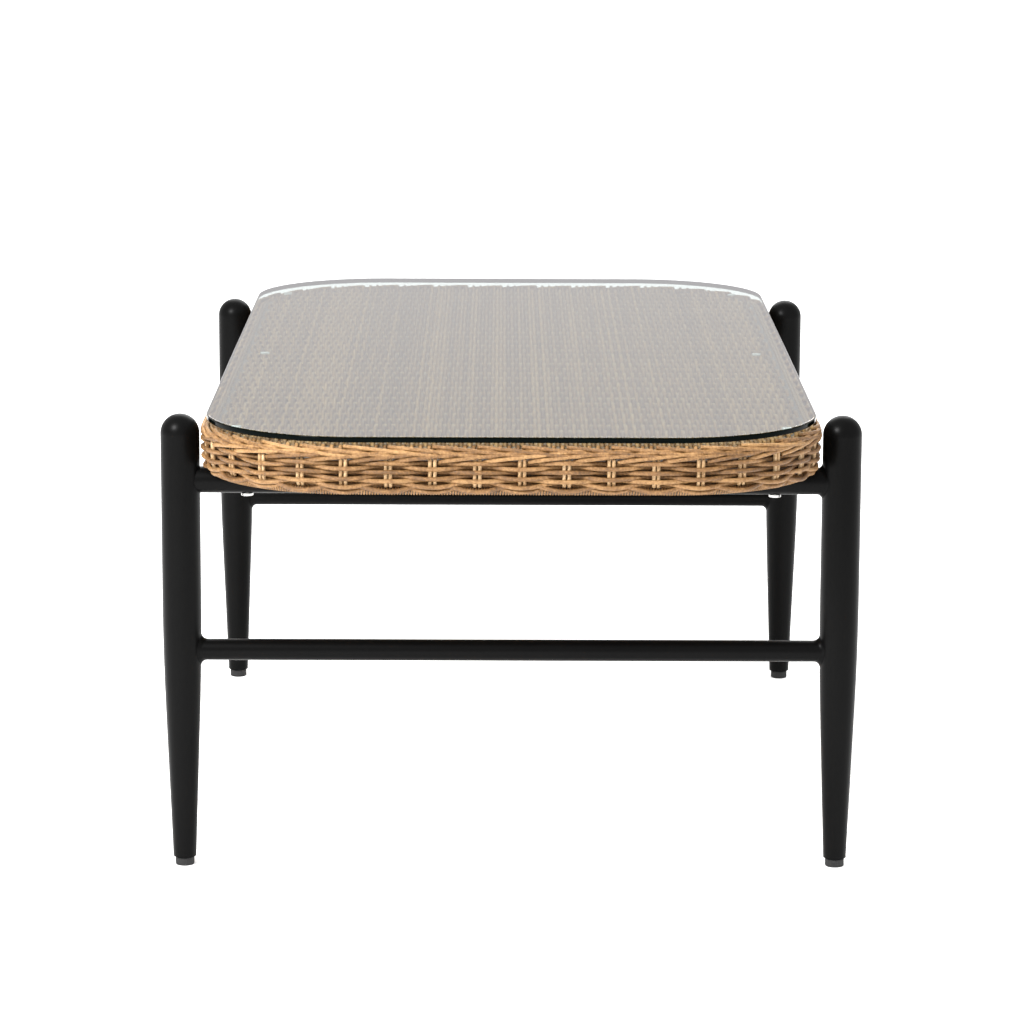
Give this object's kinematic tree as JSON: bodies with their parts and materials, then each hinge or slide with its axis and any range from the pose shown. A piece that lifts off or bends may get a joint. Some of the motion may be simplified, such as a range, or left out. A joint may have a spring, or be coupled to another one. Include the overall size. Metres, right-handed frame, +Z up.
{
  "type": "coffee table",
  "caption": "Low rectangular coffee table with a woven wicker tray, a rounded clear glass top and tapered black metal legs on levelling feet.",
  "frame": {"origin": "on the floor under the middle of the table", "axes": "+Z up, +Y along the table's length, +X to the right when facing along +Y"},
  "size_m": [0.6822, 1.1376, 0.457],
  "materials": {
    "black_powder_coat": "satin powder coat with a fine grain",
    "black_plastic": "matte moulded",
    "zinc_steel": "zinc plated",
    "stainless_steel": "satin",
    "tray_aluminium": "dark brown coated",
    "wicker": "honey woven round strand with lengthwise grain",
    "clear_glass": "clear, polished edge",
    "clear_bumper": "soft clear silicone"
  },
  "bodies": {
    "frame": {"leg_front_left": "black_powder_coat", "foot_plug_front_left": "black_plastic", "tray_bolt_front_left": "stainless_steel", "tray_insert_front_left": "zinc_steel", "leg_front_right": "black_powder_coat", "foot_plug_front_right": "black_plastic", "tray_bolt_front_right": "stainless_steel", "tray_insert_front_right": "zinc_steel", "leg_rear_left": "black_powder_coat", "foot_plug_rear_left": "black_plastic", "tray_bolt_rear_left": "stainless_steel", "tray_insert_rear_left": "zinc_steel", "leg_rear_right": "black_powder_coat", "foot_plug_rear_right": "black_plastic", "tray_bolt_rear_right": "stainless_steel", "tray_insert_rear_right": "zinc_steel", "top_rail_front": "black_powder_coat", "stretcher_front": "black_powder_coat", "tray_cross_bar_front": "tray_aluminium", "top_rail_rear": "black_powder_coat", "stretcher_rear": "black_powder_coat", "tray_cross_bar_rear": "tray_aluminium", "tray_top_bar_front": "tray_aluminium", "tray_top_bar_middle": "tray_aluminium", "tray_top_bar_rear": "tray_aluminium", "tray_lower_hoop": "tray_aluminium", "tray_upper_hoop": "tray_aluminium", "tray_posts": "tray_aluminium", "wicker_top": "wicker", "wicker_apron": "wicker", "wicker_rim": "wicker", "wicker_hoop_wrap": "wicker"},
    "glass": {"glass_top": "clear_glass", "glass_bumpers": "clear_bumper"},
    "foot_front_left": {"foot_stud_front_left": "zinc_steel", "foot_base_front_left": "black_plastic"},
    "foot_front_right": {"foot_stud_front_right": "zinc_steel", "foot_base_front_right": "black_plastic"},
    "foot_rear_left": {"foot_stud_rear_left": "zinc_steel", "foot_base_rear_left": "black_plastic"},
    "foot_rear_right": {"foot_stud_rear_right": "zinc_steel", "foot_base_rear_right": "black_plastic"}
  },
  "joints": [
    {"name": "glass_lift", "type": "slide", "parent": "frame", "child": "glass", "axis": [0, 0, 1], "range_m": [0, 0.08]},
    {"name": "foot_travel_front_left", "type": "slide", "parent": "frame", "child": "foot_front_left", "axis": [0, 0, -1], "range_m": [0, 0.00625]},
    {"name": "foot_travel_front_right", "type": "slide", "parent": "frame", "child": "foot_front_right", "axis": [0, 0, -1], "range_m": [0, 0.00625]},
    {"name": "foot_travel_rear_left", "type": "slide", "parent": "frame", "child": "foot_rear_left", "axis": [0, 0, -1], "range_m": [0, 0.00625]},
    {"name": "foot_travel_rear_right", "type": "slide", "parent": "frame", "child": "foot_rear_right", "axis": [0, 0, -1], "range_m": [0, 0.00625]}
  ]
}
